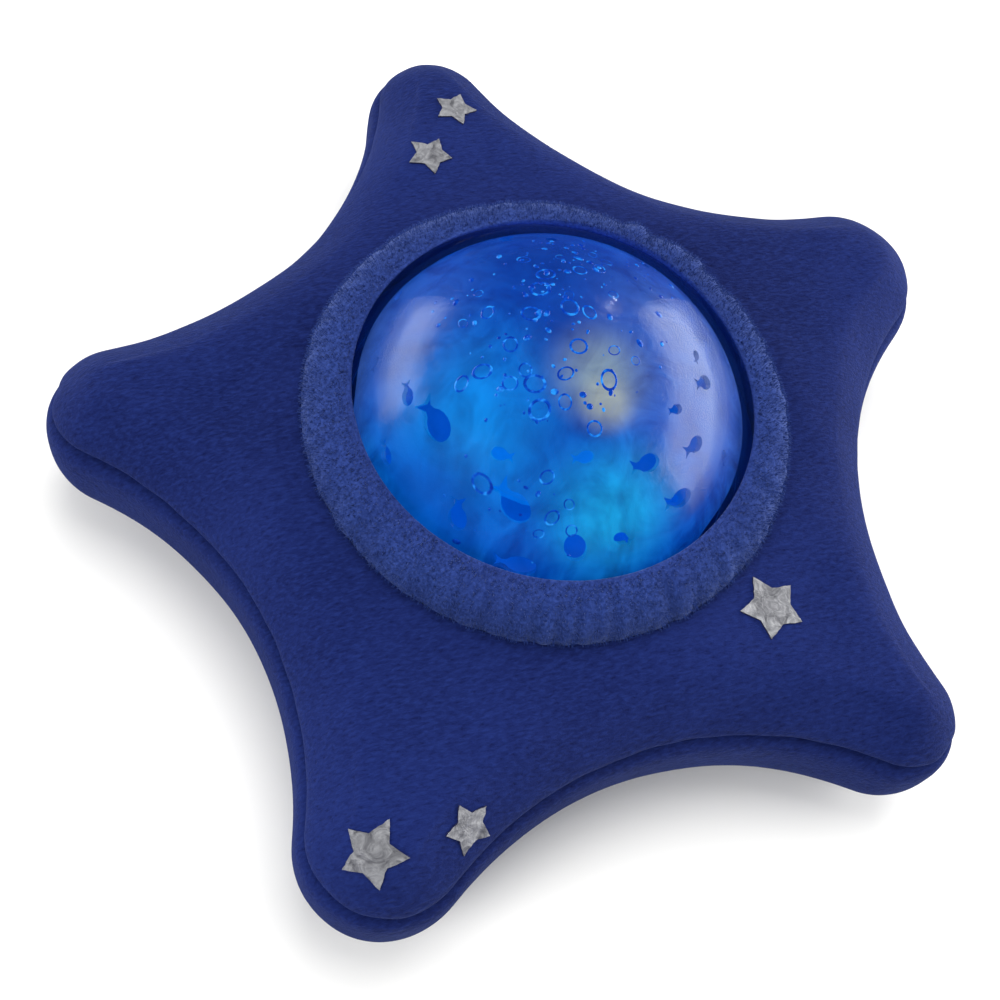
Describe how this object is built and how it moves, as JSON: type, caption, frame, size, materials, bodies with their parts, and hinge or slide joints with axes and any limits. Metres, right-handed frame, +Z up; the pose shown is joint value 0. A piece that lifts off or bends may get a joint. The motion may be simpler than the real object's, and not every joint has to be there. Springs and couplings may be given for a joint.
{
  "type": "star night light projector",
  "caption": "Stuffed star night light with a clear dome, a pierced turning dome that projects fish and bubbles, and a lift-off cover.",
  "frame": {"origin": "on the dome's axis at the surface that the lamp stands on", "axes": "+Z up along the dome's axis; +Y towards the arm with two small silver stars; +X to the right of it"},
  "size_m": [0.2872, 0.2751, 0.11],
  "materials": {
    "navy_velour": "short velour pile",
    "stuffing": "polyester fibre",
    "silver_lame": "crinkled metallic cloth",
    "fleece": "fleece pile",
    "lining_cloth": "plain woven",
    "housing_plastic": "satin moulded",
    "inner_plastic": "moulded",
    "clear_plastic": "clear polished",
    "blue_plastic": "translucent blue, glossy",
    "reflector_finish": "bright",
    "gear_plastic": "moulded acetal",
    "steel": "plain",
    "circuit_board": "solder mask",
    "chip_black": "moulded",
    "diode_resin": "clear resin",
    "cell_wrap": "plain sleeve",
    "speaker_paper": "coated cone",
    "button_rubber": "matt",
    "slider_plastic": "moulded",
    "foot_rubber": "matt"
  },
  "bodies": {
    "lamp_unit": {"base_shell": "housing_plastic", "upper_housing": "housing_plastic", "outer_dome": "clear_plastic", "dome_ring": "housing_plastic", "gear_motor": "steel", "deck_plate": "inner_plastic", "light_tower": "inner_plastic", "light_board": "circuit_board", "light_diodes": "diode_resin", "reflector_cup": "reflector_finish", "ripple_lens": "clear_plastic", "battery_cells": "cell_wrap", "battery_contacts": "steel", "bay_lid": "housing_plastic", "main_board": "circuit_board", "board_spacers": "inner_plastic", "board_chips": "chip_black", "speaker": "speaker_paper", "button_board": "circuit_board", "key_switches": "inner_plastic", "power_switch": "inner_plastic", "charge_socket": "steel", "housing_screws": "steel", "deck_screws": "steel", "rubber_feet": "foot_rubber"},
    "cover": {"star_face_panel": "navy_velour", "star_side_band": "navy_velour", "star_base_panel": "navy_velour", "star_filling": "stuffing", "silver_star_top": "silver_lame", "silver_star_upper": "silver_lame", "silver_star_right": "silver_lame", "silver_star_lower": "silver_lame", "silver_star_edge": "silver_lame", "well_lining": "lining_cloth", "collar_fleece": "fleece", "collar_padding": "stuffing"},
    "drum": {"turntable": "inner_plastic", "fish_dome": "blue_plastic"},
    "pinion": {"motor_pinion": "gear_plastic", "motor_shaft": "steel"},
    "door": {"battery_door": "housing_plastic"},
    "slider": {"power_slider": "slider_plastic"},
    "music": {"music_button": "button_rubber"},
    "timer": {"timer_button": "button_rubber"}
  },
  "joints": [
    {"name": "cover_lift", "type": "slide", "parent": "lamp_unit", "child": "cover", "axis": [0, 0, 1], "range_m": [0, 0.13]},
    {"name": "dome_turn", "type": "hinge", "parent": "lamp_unit", "child": "drum", "pos_m": [0, 0, 0.035], "axis": [0, 0, 1], "continuous": true},
    {"name": "pinion_turn", "type": "hinge", "parent": "lamp_unit", "child": "pinion", "pos_m": [0.02451, -0.02057, 0.034], "axis": [0, 0, 1], "continuous": true},
    {"name": "door_drop", "type": "slide", "parent": "lamp_unit", "child": "door", "axis": [0, 0, -1], "range_m": [0, 0.03]},
    {"name": "power_slide", "type": "slide", "parent": "lamp_unit", "child": "slider", "axis": [0, 1, 0], "range_m": [0, 0.006]},
    {"name": "music_press", "type": "slide", "parent": "lamp_unit", "child": "music", "axis": [0, 0, 1], "range_m": [0, 0.0008], "stiffness_N_per_m": 600},
    {"name": "timer_press", "type": "slide", "parent": "lamp_unit", "child": "timer", "axis": [0, 0, 1], "range_m": [0, 0.0008], "stiffness_N_per_m": 600}
  ],
  "couplings": [
    {"joint": "pinion_turn", "follows": "dome_turn", "ratio": 3.6667}
  ]
}
